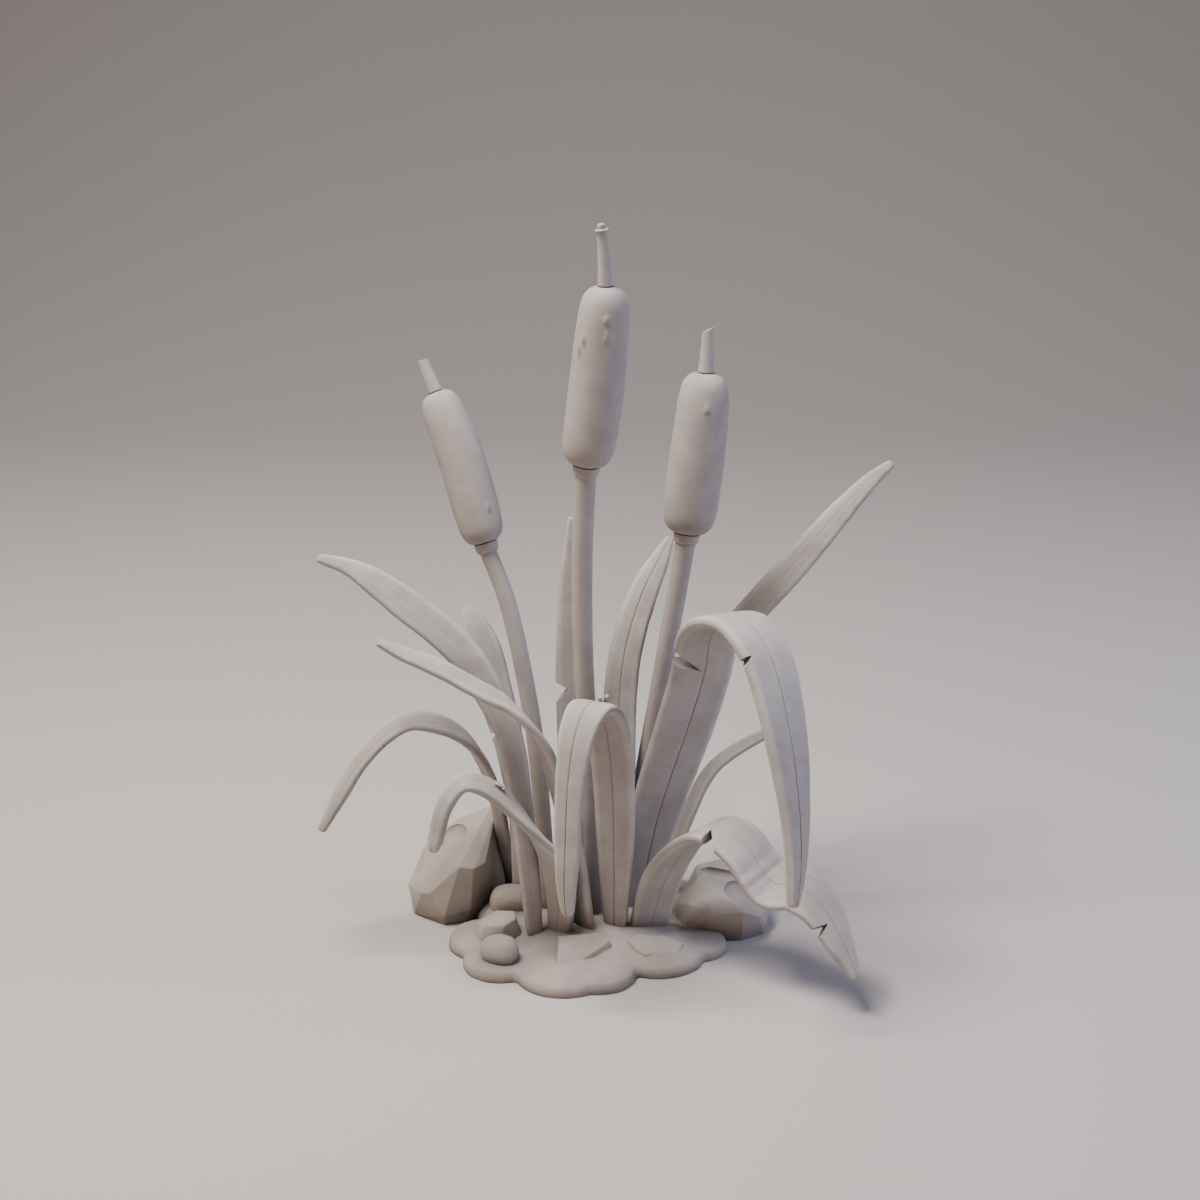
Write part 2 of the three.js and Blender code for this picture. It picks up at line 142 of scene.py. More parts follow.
def clay(name, light, dark, mottle_mm, grain_mm, grain_depth, roughness, blade=False):
    """Matte unglazed clay: a slightly darker tone in soft patches, a fine tooth in relief and painted
    shade that darkens the nooks. On a blade the tooth runs in long lines, the crease is darkened
    with painted shade and the rounded edges are lightened with a pale painted highlight."""
    material = bpy.data.materials.new(name)
    material.use_nodes = True
    tree = material.node_tree
    tree.nodes.clear()
    place = add_node(tree, "ShaderNodeTexCoord").outputs["Object"]
    patches = add_node(tree, "ShaderNodeTexNoise", [(place, "Vector")], Scale=1000 / mottle_mm,
                       Detail=4.0, Roughness=0.55)
    ramp = add_node(tree, "ShaderNodeValToRGB", [(patches.outputs["Fac"], "Fac")])
    for stop, position, colour in zip(ramp.color_ramp.elements, (0.34, 0.66), (dark, light)):
        stop.position = position
        stop.color = linear(colour)

    layers = []     # (share of the layer, its colour), from the lowest to the uppermost
    grain_place = place
    if blade:
        along = add_node(tree, "ShaderNodeAttribute", attribute_name="blade").outputs["Vector"]
        grain_place = add_node(tree, "ShaderNodeMapping", [(along, "Vector")],
                               Scale=(1, 0.07, 1)).outputs["Vector"]
        # Painted shade darkens the crease and a pale painted highlight lies on the rounded shoulders.
        for attribute, colour, amount in (("crease", "#5f544e", 0.7), ("painted_highlight", "#cfc8c3", 0.3)):
            where = add_node(tree, "ShaderNodeAttribute", attribute_name=attribute).outputs["Fac"]
            broken_up = add_node(tree, "ShaderNodeMath", [(where, 0), (patches.outputs["Fac"], 1)],
                                 operation="MULTIPLY")
            share = add_node(tree, "ShaderNodeMath", [(broken_up.outputs[0], 0)], operation="MULTIPLY")
            share.inputs[1].default_value = 2 * amount
            layers.append((share.outputs[0], colour))
    # Painted shade: the clay gets darker wherever the ambient occlusion finds surfaces close by, in
    # nooks and where parts meet.
    nook = add_node(tree, "ShaderNodeAmbientOcclusion", Distance=22 * MM)
    dirt_and_painted_shade = add_node(tree, "ShaderNodeMapRange", [(nook.outputs["AO"], "Value")],
                    From_Min=0.15, From_Max=0.9, To_Min=0.7, To_Max=0.0)
    layers.append((dirt_and_painted_shade.outputs["Result"], "#3f342e"))
    tone = ramp.outputs["Color"]
    for share, colour in layers:
        mixed = add_node(tree, "ShaderNodeMix", [(share, "Factor")], data_type="RGBA")
        tree.links.new(tone, mixed.inputs[6])       # 6 and 7 are its colour sockets A and B
        mixed.inputs[7].default_value = linear(colour)
        tone = mixed.outputs[2]                     # 2 is its colour result

    grain = add_node(tree, "ShaderNodeTexNoise", [(grain_place, "Vector")], Scale=1000 / grain_mm,
                     Detail=4.0, Roughness=0.55)
    lumps = add_node(tree, "ShaderNodeTexNoise", [(place, "Vector")], Scale=1000 / 13, Detail=2.0)
    soft = add_node(tree, "ShaderNodeBump", [(lumps.outputs["Fac"], "Height")],
                    Strength=0.3, Distance=0.8 * MM)
    relief = add_node(tree, "ShaderNodeBump",
                      [(grain.outputs["Fac"], "Height"), (soft.outputs["Normal"], "Normal")],
                      Strength=0.6, Distance=grain_depth * MM)
    dullness = add_node(tree, "ShaderNodeMapRange", [(grain.outputs["Fac"], "Value")],
                        To_Min=roughness - 0.06, To_Max=roughness + 0.06)
    body = add_node(tree, "ShaderNodeBsdfPrincipled",
                    [(tone, "Base Color"), (dullness.outputs["Result"], "Roughness"),
                     (relief.outputs["Normal"], "Normal")])
    body.inputs["Specular IOR Level"].default_value = 0.35
    add_node(tree, "ShaderNodeOutputMaterial", [(body.outputs["BSDF"], "Surface")])
    return material


def finish_piece(piece, material, slot, *nodes):
    settle(piece)
    piece.data.materials.clear()
    piece.data.materials.append(material)
    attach(piece, "root")
    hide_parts(*nodes)


# Each drop is (x, y, radius, height) in millimetres, and its rounded lip is LIP high at most.
LIP = 9
MUD_DROPS = [
    (-5, 38, 88, 24), (-98, 12, 32, 12.5), (-82, -22, 34, 11.5), (-30, -38, 43, 14.5),
    (-2, -42, 33, 12.5), (48, -8, 41, 15.5), (82, 6, 27, 11.5), (-80, 54, 27, 22),
    (58, 78, 44, 16.5), (-12, 98, 36, 15.5), (-72, 88, 38, 16.5),
]
UPRIGHT = Matrix.Identity(3)
drops = []
for x, y, radius, height in MUD_DROPS:
    lip = min(LIP, height)
    profile = [(radius - 3, -4), (radius, -1), (radius, 0.3 * lip), (radius - 1.2, 0.72 * lip),
               (radius * 0.92, lip), (radius * 0.62, lip + (height - lip) * 0.55),
               (radius * 0.3, lip + (height - lip) * 0.9), (radius * 0.05, height)]
    drops.append(grow("drop", ring(40), [
        (Vector((x, y, z)) * MM, UPRIGHT, 2 * r * MM, 2 * r * MM) for r, z in profile]))
deselect_all()
for drop in drops:
    drop.select_set(True)
mud = drops[0]
bpy.context.view_layer.objects.active = mud
bpy.ops.object.join()
mud.name = "mud"
apply_modifier(mud, "REMESH", mode="VOXEL", voxel_size=1.8 * MM)
apply_modifier(mud, "SMOOTH", factor=0.5, iterations=5)
lumpy = bpy.data.textures.new("mud_lumps", "CLOUDS")
lumpy.noise_scale = 0.022
apply_modifier(mud, "DISPLACE", texture=lumpy, strength=1.6 * MM, mid_level=0.5, texture_coords="LOCAL")
bpy.ops.object.mode_set(mode="EDIT")
bpy.ops.mesh.select_all(action="SELECT")
bpy.ops.mesh.bisect(plane_co=(0, 0, 0), plane_no=(0, 0, 1), clear_inner=True, use_fill=True)
bpy.ops.object.mode_set(mode="OBJECT")
make_active(mud)
bpy.ops.object.shade_smooth_by_angle(angle=math.radians(50))
# Wet mud that dried: the dullest tone, in broad soft patches, with hardly any tooth.
mud_clay = clay("clay_settled_mud", "#a59c95", "#968d86", 30, 1.4, 0.25, 0.86)
finish_piece(mud, mud_clay, "mud", "mud_mound")

# ---------------------------------------------------------------- stones
# Broken field stones with flat faces and slightly chipped edges, lying beside and in the mud,
# and two worn pebbles. The big ones have shallow hollows where flakes came away.


# Corners that make the slab's steep broken front: (corner, move), in millimetres.
CORNERS_MOVED = {
    "slab_front": [((-33, -24, 23), (-1, -15, 0)), ((7, -26, 21), (2, 6, 0)),
                   ((6, -32, 16), (3, 9, -2))],
}


def move_some(stone, wanted, move_mm):
    """Moves the corners whose place is wanted."""
    make_active(stone)
    bpy.ops.object.mode_set(mode="EDIT")
    bpy.ops.mesh.select_mode(type="VERT")
    bpy.ops.mesh.select_all(action="DESELECT")
    bpy.ops.object.mode_set(mode="OBJECT")
    for vertex in stone.data.vertices:
        vertex.select = wanted(vertex.co)
    bpy.ops.object.mode_set(mode="EDIT")
    bpy.ops.transform.translate(value=Vector(move_mm) * MM)
    bpy.ops.object.mode_set(mode="OBJECT")


def stone_from(node, edge_mm, flat_degrees, move_mm, root_mm, wider):
    """The solid's own faces, with near-flat neighbours merged and the arrises worn. Corners below
    root_mm, which lie hidden in the mud, reach further down."""
    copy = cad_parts[node].copy()
    copy.data = copy.data.copy()
    copy.name = node + "_worn"
    bpy.context.scene.collection.objects.link(copy)
    copy.hide_render = False
    make_active(copy)
    bpy.ops.object.mode_set(mode="EDIT")
    bpy.ops.mesh.select_all(action="SELECT")
    bpy.ops.mesh.remove_doubles(threshold=0.02 * MM)
    bpy.ops.mesh.dissolve_limited(angle_limit=math.radians(flat_degrees))
    bpy.ops.transform.translate(value=Vector(move_mm) * MM)
    bpy.ops.transform.resize(value=(wider, 1, 1))
    bpy.ops.object.mode_set(mode="OBJECT")
    for corner, pull in CORNERS_MOVED.get(node, []):
        move_some(copy, lambda place: (place - Vector(corner) * MM).length < 2 * MM, pull)
    if root_mm:
        move_some(copy, lambda place: place.z < root_mm * MM, (0, 0, -4))
    apply_modifier(copy, "BEVEL", width=edge_mm * MM, segments=3, limit_method="ANGLE",
                   angle_limit=math.radians(8))
    bpy.ops.object.shade_flat()
    return copy


def spall(stone, centre, facing, radii, turn):
    """Hollows the stone with a smooth ellipsoid that faces out of its surface."""
    deselect_all()
    bpy.ops.mesh.primitive_uv_sphere_add(segments=96, ring_count=48, radius=1)
    flake = bpy.context.object
    flake.scale = Vector(radii) * MM
    flake.rotation_euler = (Vector(facing).to_track_quat("Z", "Y").to_matrix()
                            @ Matrix.Rotation(math.radians(turn), 3, "Z")).to_euler()
    flake.location = Vector(centre) * MM
    bpy.ops.object.transform_apply(location=True, rotation=True, scale=True)
    bpy.ops.object.shade_smooth()
    apply_modifier(stone, "BOOLEAN", operation="DIFFERENCE", object=flake, solver="EXACT")
    bpy.data.objects.remove(flake)


# Hollows where flakes came away: (centre, facing, half sizes, turn in degrees), in millimetres.
SPALLS = {
    "stone_left": [((-129, 89, 66.5), (-0.51, -0.23, 0.83), (14, 13, 7), 0)],
    "stone_right": [((118, 32, 40.5), (0.15, -0.37, 0.92), (11, 12, 6), 0),
                    ((99, 50, 50.3), (0.11, -0.27, 0.96), (20, 4.8, 5.2), -29)],
}
# (node, worn edge, largest angle of faces merged, move, height of the root, widening along X)
BROKEN_STONES = [
    ("stone_left", 0.8, 7, (0, 0, 0), 0, 1.05),
    ("stone_right", 0.8, 7, (0, 0, 0), 0, 1.01),
    ("pebble_angular", 1.3, 5, (-3, 8, 0), 16, 1.04),
    ("slab_front", 1.0, 5, (0, 0, 0), 12.5, 1),
    ("slab_right", 1.6, 5, (0, 0, -2.5), 10, 1),
]
# Broken stone: flat pale faces with wide faint patches and a slightly coarser tooth than the mud.
stone_clay = clay("clay_broken_stone", "#aca39b", "#9c938b", 45, 1.8, 0.22, 0.84)
for node, edge_mm, flat_degrees, move_mm, root_mm, wider in BROKEN_STONES:
    stone = stone_from(node, edge_mm, flat_degrees, move_mm, root_mm, wider)
    for hollow in SPALLS.get(node, []):
        spall(stone, *hollow)
    finish_piece(stone, stone_clay, "stone", node)

# (node, centre, half size, turn about Z in degrees)
WORN_PEBBLES = [
    ("pebble_round", (-84, -31, 17), (17.5, 13.5, 14.5), -24),
    ("pebble_back", (-77, 53, 18.5), (20, 15, 16.5), 10),
]
for node, centre, half, turn in WORN_PEBBLES:
    deselect_all()
    bpy.ops.mesh.primitive_cube_add(size=2)
    pebble = bpy.context.object
    pebble.name = node + "_worn"
    pebble.scale = Vector(half) * MM
    pebble.rotation_euler = (0, math.radians(0.4 * turn), math.radians(turn))
    pebble.location = Vector(centre) * MM
    settle(pebble)
    apply_modifier(pebble, "BEVEL", width=8.5 * MM, segments=1, limit_method="NONE")
    apply_modifier(pebble, "SUBSURF", levels=4, render_levels=4)
    worn = bpy.data.textures.new(node, "CLOUDS")
    worn.noise_scale = 0.02
    apply_modifier(pebble, "DISPLACE", texture=worn, strength=2.0 * MM, mid_level=0.5,
                   texture_coords="LOCAL")
    bpy.ops.object.shade_smooth()
    finish_piece(pebble, stone_clay, "stone", node)

# ---------------------------------------------------------------- stalks
# Round, pithy stems that each carry a swollen collar, a dense felt seed head and the bare spike
# of the withered upper flower. All three parts follow one gently bent line.


def between(points, place):
    """A smooth value at a place counted in points, through every point."""
    last = len(points) - 1
    index = min(int(place), last - 1)
    u = place - index
    before, start, end, after = (points[max(0, min(last, index + k))] for k in (-1, 0, 1, 2))
    return tuple(
        0.5 * (2 * b + (c - a) * u + (2 * a - 5 * b + 4 * c - d) * u * u
               + (3 * b - a - 3 * c + d) * u ** 3)
        for a, b, c, d in zip(before, start, end, after))


def walk(line, fine=40):
    """The line as many close points with the distance of each from the foot."""
    count = (len(line) - 1) * fine
    spots = [Vector(between(line, k / fine)[:3]) for k in range(count + 1)]
    far = [0.0]
    for a, b in zip(spots, spots[1:]):
        far.append(far[-1] + (b - a).length)
    return spots, far


def spot_at(spots, far, distance):
    """Place and direction at a distance along a walked line."""
    distance = max(0.0, min(distance, far[-1] - 1e-6))
    k = next(i for i in range(1, len(far)) if far[i] >= distance)
    u = (distance - far[k - 1]) / max(far[k] - far[k - 1], 1e-9)
    ahead, behind = spots[min(k + 1, len(spots) - 1)], spots[max(k - 2, 0)]
    return spots[k - 1].lerp(spots[k], u), (ahead - behind).normalized()


def turned(name, line, rows, sides):
    """A round piece, as [distance along the line, radius] rows in millimetres."""
    spots, far = walk(line)
    stations = []
    for distance, radius in rows:
        centre, along = spot_at(spots, far, distance)
        stations.append((centre * MM, spot_frame(along, (1, 0, 0)), 2 * radius * MM, 2 * radius * MM))
    piece = grow(name, ring(sides), stations)
    apply_modifier(piece, "SUBSURF", levels=2, render_levels=2)
    bpy.ops.object.shade_smooth()
    return piece


def wart(piece, place_mm, push_mm, size_mm):
    """Pulls a small bump of the surface along push, softly over the size."""
    make_active(piece)
    place = Vector(place_mm) * MM
    nearest = min(piece.data.vertices, key=lambda v: (v.co - place).length).index
    bpy.ops.object.mode_set(mode="EDIT")
    bpy.ops.mesh.select_mode(type="VERT")
    bpy.ops.mesh.select_all(action="DESELECT")
    bpy.ops.object.mode_set(mode="OBJECT")
    piece.data.vertices[nearest].select = True
    bpy.ops.object.mode_set(mode="EDIT")
    bpy.ops.transform.translate(
        value=Vector(push_mm) * MM, use_proportional_edit=True, proportional_edit_falloff="SMOOTH",
        proportional_size=size_mm * MM)
    bpy.ops.object.mode_set(mode="OBJECT")


# Smooth pithy stem: even tone, the least dull surface of all, with almost no tooth.
stem_clay = clay("clay_smooth_stem", "#aaa29c", "#9e9690", 22, 1.2, 0.12, 0.8)
# Felted seed head: very dull, with a fine close tooth and small patches.
head_clay = clay("clay_felted_head", "#a69e98", "#9b938d", 16, 0.9, 0.2, 0.88)
# Distances run along the line from its foot. A spike is (distance from its base, radius) rows, and
# "broken" is the height where it is snapped off and how the break leans.
STALKS = [
    {"side": "left", "foot": 7.6, "top": 7.2, "collar": 10.2,
     "head_start": 342, "head": 131, "radius": 19.5,
     "line": [(-45, 45, 9), (-49, 47, 100), (-57, 52, 191), (-77, 66, 294), (-93, 76, 333),
              (-115, 93, 410), (-138, 110, 466), (-153, 121, 500)],
     "spike": [(0, 6.5), (0.5, 6.5), (5, 6.1), (16, 5.6), (27.5, 5.1), (34, 5.0)],
     "broken": (28.5, (0.1, 0, 0))},
    {"side": "middle", "foot": 7.6, "top": 8.8, "collar": 11.3,
     "head_start": 418, "head": 145, "radius": 22,
     "line": [(-5, 28, 9), (-7, 24, 132), (-14, 20, 267), (-13, 20, 396), (-2, 20, 495),
              (4, 20, 568), (0, 20, 626)],
     "spike": [(0, 6.3), (0.5, 6.3), (5, 5.9), (20, 5.0), (34, 4.4), (40, 4.3), (42, 4.9),
               (43.4, 5.7), (44.2, 5.7), (44.4, 4.4), (44.2, 3.2), (45.6, 3.1), (47.4, 3.3),
               (49.0, 2.6)]},
    {"side": "right", "foot": 7.6, "top": 8.6, "collar": 11.3,
     "head_start": 340, "head": 136, "radius": 23,
     "line": [(28, 82, 9), (32, 83, 86), (51, 85, 206), (63, 89, 281), (71, 93, 329),
              (85, 104, 448), (89, 110, 520)],
     "spike": [(0, 7.0), (0.5, 7.0), (5, 6.5), (15, 5.9), (26, 5.2), (31, 5.1), (35, 5.0),
               (41, 4.9)],
     "broken": (35.5, (-0.55, 0.1, 0))},
]
# A head from its base to its top: (share of its length, share of its radius).
HEAD_SHAPE = [
    (0.0, 0.3), (0.0005, 0.47), (0.006, 0.6), (0.022, 0.745), (0.05, 0.87), (0.09, 0.95),
    (0.15, 0.992), (0.24, 1.01), (0.36, 1.012), (0.5, 1.005), (0.64, 0.988), (0.76, 0.965),
    (0.85, 0.925), (0.915, 0.855), (0.958, 0.745), (0.984, 0.59), (0.996, 0.42), (1.0, 0.3),
]
# Warts on the heads: (stalk, share of the way up the head, degrees round from the front, reach in mm).
WARTS = [("middle", 0.85, 6, 3.4), ("middle", 0.745, 10, 3.0), ("middle", 0.75, -42, 3.0),
         ("middle", 0.69, -50, 2.6), ("right", 0.82, 4, 4.0), ("left", 0.26, 38, 2.6)]
for stalk in STALKS:
    start = stalk["head_start"]
    top, collar = stalk["top"], stalk["collar"]
    collar_end = start - 1.0
    rise = [(collar_end - 12) * k / 9 for k in range(1, 9)]
    stem_rows = [(0.2, stalk["foot"])]
    stem_rows += [(d, stalk["foot"] + (top - stalk["foot"]) * d / collar_end) for d in rise]
    stem_rows += [(collar_end - 11, top), (collar_end - 9.0, top), (collar_end - 8.6, top + 0.35),
                  (collar_end - 8.1, collar - 1.0), (collar_end - 7.2, collar - 0.6),
                  (collar_end - 2.2, collar - 0.1), (collar_end - 0.5, collar),
                  (collar_end, collar - 0.1)]
    stem = turned("stem_" + stalk["side"] + "_turned", stalk["line"], stem_rows, 20)
    finish_piece(stem, stem_clay, "stem", "stem_" + stalk["side"])

    head_base = collar_end + 0.1
    radius = stalk["radius"]
    head_rows = [(head_base + stalk["head"] * up, radius * share) for up, share in HEAD_SHAPE]
    head = turned("seed_head_" + stalk["side"] + "_felted", stalk["line"], head_rows, 30)
    pressed = bpy.data.textures.new("felt_" + stalk["side"], "CLOUDS")
    pressed.noise_scale = 0.03
    apply_modifier(head, "DISPLACE", texture=pressed, strength=0.8 * MM, mid_level=0.5,
                   texture_coords="LOCAL")
    spots, far = walk(stalk["line"])
    for side, up, degrees, reach in WARTS:
        if side == stalk["side"]:
            centre, along = spot_at(spots, far, head_base + stalk["head"] * up)
            out = Vector((math.sin(math.radians(degrees)), -math.cos(math.radians(degrees)), 0))
            wart(head, centre + out * radius, out * 2.1 + Vector((0, 0, -0.8)), reach)
    finish_piece(head, head_clay, "seed_head", "seed_head_" + stalk["side"])

    spike_base = head_base + stalk["head"] + 0.1
    spike_rows = [(spike_base + d, r) for d, r in stalk["spike"]]
    spike = turned("spike_" + stalk["side"] + "_turned", stalk["line"], spike_rows, 16)
    if "broken" in stalk:
        # Snapped off, with the broken rim a little rounded.
        height, lean = stalk["broken"]
        centre, along = spot_at(spots, far, spike_base + height)
        make_active(spike)
        bpy.ops.object.mode_set(mode="EDIT")
        bpy.ops.mesh.select_all(action="SELECT")
        bpy.ops.mesh.bisect(plane_co=centre * MM, plane_no=along + Vector(lean), clear_outer=True,
                            use_fill=True)
        bpy.ops.object.mode_set(mode="OBJECT")
        apply_modifier(spike, "BEVEL", width=1.1 * MM, segments=3, limit_method="ANGLE",
                       angle_limit=math.radians(40))
        bpy.ops.object.shade_smooth_by_angle(angle=math.radians(40))
    finish_piece(spike, stem_clay, "stem", "spike_" + stalk["side"])

# ---------------------------------------------------------------- leaves
# Thick strap leaves with full, rounded edges. The broad ones have a sharp crease down the middle of
# both faces. Each leaves the mud upright and bends under its own weight; old ones are torn or hold
# a crumb of dirt.


def strap_section(half_width, half_thickness, crease_mm):
    """One ring of points, one unit wide and thick, from the right-hand edge round by the front."""
    bevel = min(0.42, 4.2 / half_width)
    groove = min(0.1, 0.8 / half_width)
    side = [(1, 0), (1 - 0.07 * bevel, 0.4), (1 - 0.36 * bevel, 0.76), (1 - bevel, 0.98),
            (1 - 1.5 * bevel, 1.05), (0.5 - 0.75 * bevel + 1.5 * groove, 1.1), (3 * groove, 1.13),
            (groove, 1.12)]
    middle = [(0, 1.12 - crease_mm / half_thickness)]
    front = side + middle + [(-x, y) for x, y in reversed(side)]
    back = [(x, -y) for x, y in reversed(front[1:-1])]
    return [(0.5 * x, 0.5 * y) for x, y in front + back]


# Points of the section that lie in the two creases and on the four rounded shoulders.
CREASE_COLUMNS, SHOULDER_COLUMNS = (8, 24), (2, 3, 13, 14, 18, 19, 29, 30)
STEPS_A_ROW = 3     # sections for each row of a leaf's line
LOOK = 0.08         # rows looked ahead and behind to find which way the leaf grows
NARROWEST = 5.5


def leaf_frame(line, across, place):
    """How the section stands at a place counted in rows: across, through and along the leaf."""
    last = len(line) - 1
    ahead = Vector(between(line, min(place + LOOK, last))[:3])
    behind = Vector(between(line, max(place - LOOK, 0))[:3])
    return spot_frame(ahead - behind, between(across, place / last * (len(across) - 1)))


def strap_leaf(name, line, across, thickness, crease_mm, ripple=None):
    """Each line row is x, y, z and the leaf's width there, in millimetres. A ripple is the first and
    last place it covers, counted in rows, and its height."""
    last = len(line) - 1
    stations = []
    lengths = [0.0]
    for k in range(last * STEPS_A_ROW + 1):
        place = k / STEPS_A_ROW
        spot = between(line, place)
        turned_so = leaf_frame(line, across, place)
        centre = Vector(spot[:3])
        if ripple and ripple[0] <= place <= ripple[1]:
            centre += turned_so.col[1] * ripple[2] * (-1) ** k
        width = max(spot[3], NARROWEST)
        stations.append((centre * MM, turned_so, width * MM, min(thickness, 1.4 + 0.62 * width) * MM))
        if k:
            lengths.append(lengths[-1] + (stations[-1][0] - stations[-2][0]).length)
    centre, tip_frame, width, thick = stations[-1]
    for reach, share in ((0.26, 0.88), (0.42, 0.6)):        # the blunt tip
        tip = centre + tip_frame.col[2] * reach * width
        stations.append((tip, tip_frame, width * share, thick * share))
        lengths.append(lengths[-1] + 0.2 * width)
    widest = max(row[3] for row in line)
    section = strap_section(0.5 * widest, 0.5 * thickness, crease_mm)
    leaf = grow(name, section, stations)
    blade = leaf.data.attributes.new("blade", "FLOAT_VECTOR", "POINT")
    crease = leaf.data.attributes.new("crease", "FLOAT", "POINT")
    painted_highlight = leaf.data.attributes.new("painted_highlight", "FLOAT", "POINT")
    for i in range(len(leaf.data.vertices)):
        row, column = divmod(i, len(section))
        x, y = section[column]
        blade.data[i].vector = (x * stations[row][2], lengths[row], y * stations[row][3])
        # Masks for the painted shade in the crease and the pale painted highlight on the shoulders.
        crease.data[i].value = min(1, crease_mm / 1.2) if column in CREASE_COLUMNS else 0
        painted_highlight.data[i].value = 1 if column in SHOULDER_COLUMNS else 0
    apply_modifier(leaf, "SUBSURF", levels=2, render_levels=2)
    return leaf


def tear(leaf, line, across, place, edge, inset, angle, depth, opening, tilt):
    """Cuts a wedge out of an edge. Its sharp end stands at a place counted in rows and inset from
    the middle towards the edge (1 or -1); angle turns its mouth to the tip, tilt leans its walls."""
    side, face, along = leaf_frame(line, across, place).transposed()
    apex = Vector(between(line, place)[:3]) + side * edge * inset
    turn, lean = math.radians(angle), math.radians(tilt)
    x = side * edge * math.cos(turn) + along * math.sin(turn)
    z = face * math.cos(lean) + (along * math.cos(turn) - side * edge * math.sin(turn)) * math.sin(lean)
    deselect_all()
    bpy.ops.mesh.primitive_cylinder_add(vertices=3, radius=1, depth=1)
    wedge = bpy.context.object
    corners = [(0, 0), (depth, opening / 2), (depth, -opening / 2)]
    for vertex in wedge.data.vertices:
        k = vertex.index // 2
        vertex.co = (corners[k][0] * MM, corners[k][1] * MM, math.copysign(14 * MM, vertex.co.z))
    turned_so = Matrix((x, z.cross(x), z)).transposed()
    wedge.matrix_world = Matrix.Translation(apex * MM) @ turned_so.to_4x4()
    bpy.ops.object.transform_apply(location=True, rotation=True, scale=True)
    bpy.ops.object.mode_set(mode="EDIT")
    bpy.ops.mesh.select_all(action="SELECT")
    bpy.ops.mesh.normals_make_consistent(inside=False)
    bpy.ops.object.mode_set(mode="OBJECT")
    apply_modifier(leaf, "BOOLEAN", operation="DIFFERENCE", object=wedge, solver="EXACT")
    bpy.data.objects.remove(wedge)


def crumb(leaf, centre, half, turn):
    """A crumb of dried mud stuck to a leaf."""
    deselect_all()
    bpy.ops.mesh.primitive_cube_add(size=2, location=Vector(centre) * MM)
    dirt_and_painted_shade = bpy.context.object
    dirt_and_painted_shade.scale = Vector(half) * MM
    dirt_and_painted_shade.rotation_euler = [math.radians(a) for a in turn]
    bpy.ops.object.transform_apply(location=True, rotation=True, scale=True)
    apply_modifier(dirt_and_painted_shade, "BEVEL", width=0.35 * min(half) * MM, segments=2, limit_method="NONE")
    deselect_all()
    dirt_and_painted_shade.select_set(True)
    leaf.select_set(True)
    bpy.context.view_layer.objects.active = leaf
    bpy.ops.object.join()


# Fibrous leaf: the palest tone, with fine lines along the blade, painted shade in the crease and a pale
# painted highlight on the edges.
leaf_clay = clay("clay_fibrous_leaf", "#aea7a2", "#a09892", 26, 1.0, 0.2, 0.8, blade=True)
